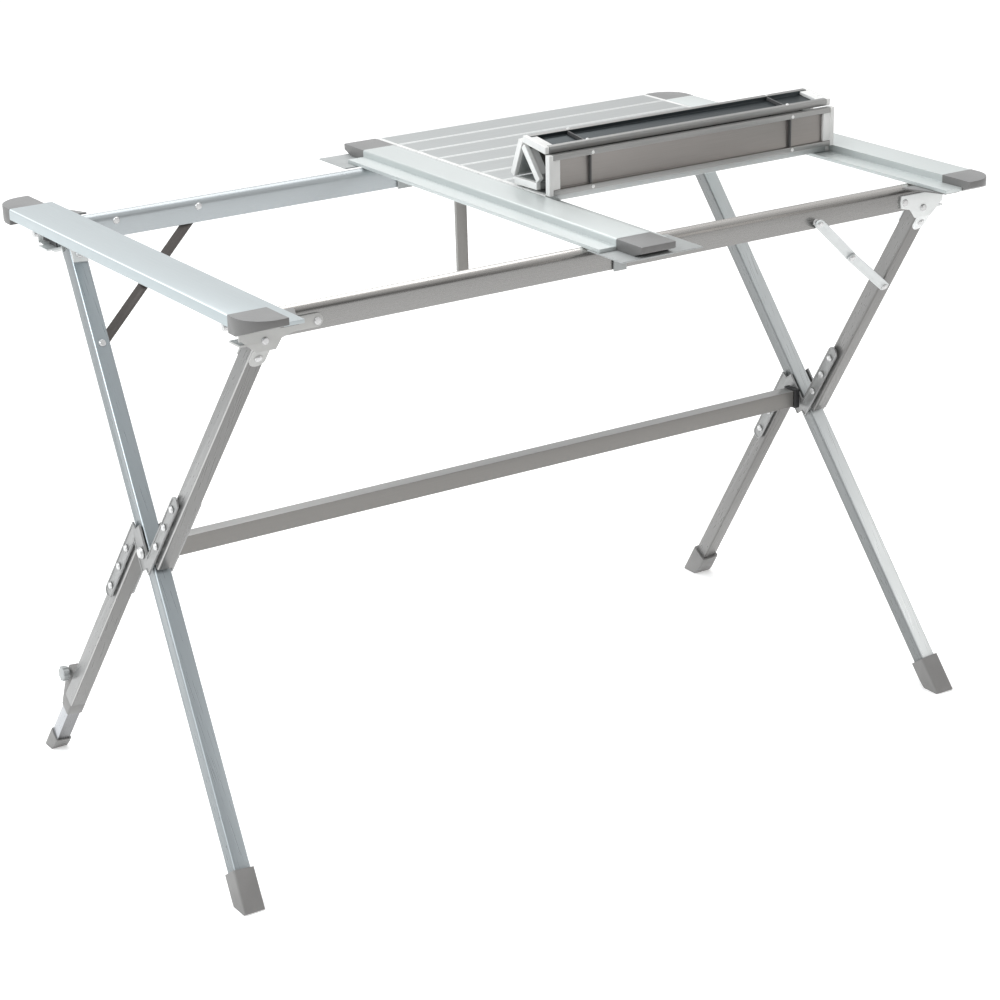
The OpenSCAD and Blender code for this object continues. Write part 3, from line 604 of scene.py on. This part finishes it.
def roll_details():
    """Divider strips across the channels, and the beads of the cords beside them."""
    lo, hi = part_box("slat_10")
    for index in range(FLAT_COUNT, len(SLATS)):
        label = f"slat_{index + 1}"
        body = SLATS[index][3]
        place = slat_matrix(index)
        for side, share in enumerate(DIVIDERS):
            x = lo[0] + share * (hi[0] - lo[0])
            strip = box_builder(
                (x - DIVIDER_HALF, -SLAT_PITCH + CHANNEL_EDGE + DIVIDER_GAP, DIVIDER_LOW),
                (x + DIVIDER_HALF, -CHANNEL_EDGE - DIVIDER_GAP, DIVIDER_HIGH),
            )
            strip_name = f"{label}_divider_{side}"
            add_to_roll(strip_name, body, strip, materials["dark_plastic"], place, DIVIDER_EDGE)
            for end, y in enumerate(BEAD_YS):
                bead = bead_builder((x + BEAD_ASIDE, y, BEAD_Z))
                add_to_roll(f"{label}_bead_{side}_{end}", body, bead, materials["plug"], place)


mark_slat_faces()
roll_details()

# ---- floor, light and camera ------------------------------------------------------------------

FLOOR_HALF = 40
CAMERA_PLACE = (-1.7964, -2.8615, 1.5625)
YAW = math.radians(32.05)
PITCH = math.radians(-20.19)
ROLL = math.radians(-1.71)


def area_light(name, place, aim, side, power, colour=(1, 1, 1)):
    """A square lamp that looks from its place to its aim."""
    light = bpy.data.lights.new(name, "AREA")
    light.shape = "RECTANGLE"
    light.size = side
    light.size_y = side
    light.energy = power
    light.color = colour
    lamp = bpy.data.objects.new(name, light)
    lamp.location = place
    lamp.rotation_euler = (Vector(aim) - Vector(place)).to_track_quat("-Z", "Y").to_euler()
    bpy.context.scene.collection.objects.link(lamp)


def add_floor():
    """A pale floor, a little self-lit."""
    mesh = bpy.data.meshes.new("floor")
    signs = ((-1, -1), (1, -1), (1, 1), (-1, 1))
    corners = [(x * FLOOR_HALF, y * FLOOR_HALF, 0) for x, y in signs]
    mesh.from_pydata(corners, [], [(0, 1, 2, 3)])
    floor = bpy.data.objects.new("floor", mesh)
    mat, nodes, links, shader = new_material("floor_paint")
    coords = nodes.new("ShaderNodeTexCoord").outputs["Object"]
    paint = noise(nodes, links, coords, 3)
    tone = colour_mix(nodes, links, paint, (0.86, 0.86, 0.86), (0.9, 0.9, 0.9))
    links.new(tone, shader.inputs["Base Color"])
    shader.inputs["Roughness"].default_value = 0.9
    shader.inputs["Emission Color"].default_value = (1, 1, 1, 1)
    shader.inputs["Emission Strength"].default_value = 0.35
    mesh.materials.append(mat)
    bpy.context.scene.collection.objects.link(floor)


def add_world():
    """A white studio, darker low down in front, for the shade on the faces that look there."""
    world = bpy.data.worlds.new("studio")
    bpy.context.scene.world = world
    world.use_nodes = True
    nodes = world.node_tree.nodes
    links = world.node_tree.links
    split = nodes.new("ShaderNodeSeparateXYZ")
    links.new(nodes.new("ShaderNodeTexCoord").outputs["Generated"], split.inputs[0])
    front = ramp(nodes, links, split.outputs["Y"], 1, 0, -0.9, -0.1)
    low = ramp(nodes, links, split.outputs["Z"], 1, 0, 0.05, 0.6)
    both = maths(nodes, links, "MULTIPLY", front, low)
    tone = colour_mix(nodes, links, both, (1, 1, 1), (0.2, 0.197, 0.195))
    links.new(tone, nodes["Background"].inputs["Color"])
    nodes["Background"].inputs["Strength"].default_value = 0.8


def add_camera():
    """The camera stands to the front left, about twice as high as the table."""
    reach = math.cos(PITCH)
    ahead = Vector((math.sin(YAW) * reach, math.cos(YAW) * reach, math.sin(PITCH)))
    level = Vector((math.cos(YAW), -math.sin(YAW), 0))
    above = level.cross(ahead)
    right = level * math.cos(ROLL) + above * math.sin(ROLL)
    up = above * math.cos(ROLL) - level * math.sin(ROLL)
    data = bpy.data.cameras.new("camera")
    data.sensor_width = 36
    data.lens = 98.2
    data.clip_end = 100
    camera = bpy.data.objects.new("camera", data)
    turn = Matrix((right, up, -ahead)).transposed().to_4x4()
    camera.matrix_world = Matrix.Translation(CAMERA_PLACE) @ turn
    bpy.context.scene.collection.objects.link(camera)
    bpy.context.scene.camera = camera


add_floor()
add_world()
area_light("key", (-3.2, 0.6, 2.6), (0, 0, 0.4), 2.4, 70, (0.93, 0.98, 1.0))
area_light("top", (0.4, 1.2, 3.6), (0, 0, 0.6), 3.0, 60)
area_light("fill", (2.8, -3.2, 1.6), (0, 0, 0.5), 1.6, 14, (1.0, 0.97, 0.94))
add_camera()
bpy.context.scene.view_settings.view_transform = "Standard"
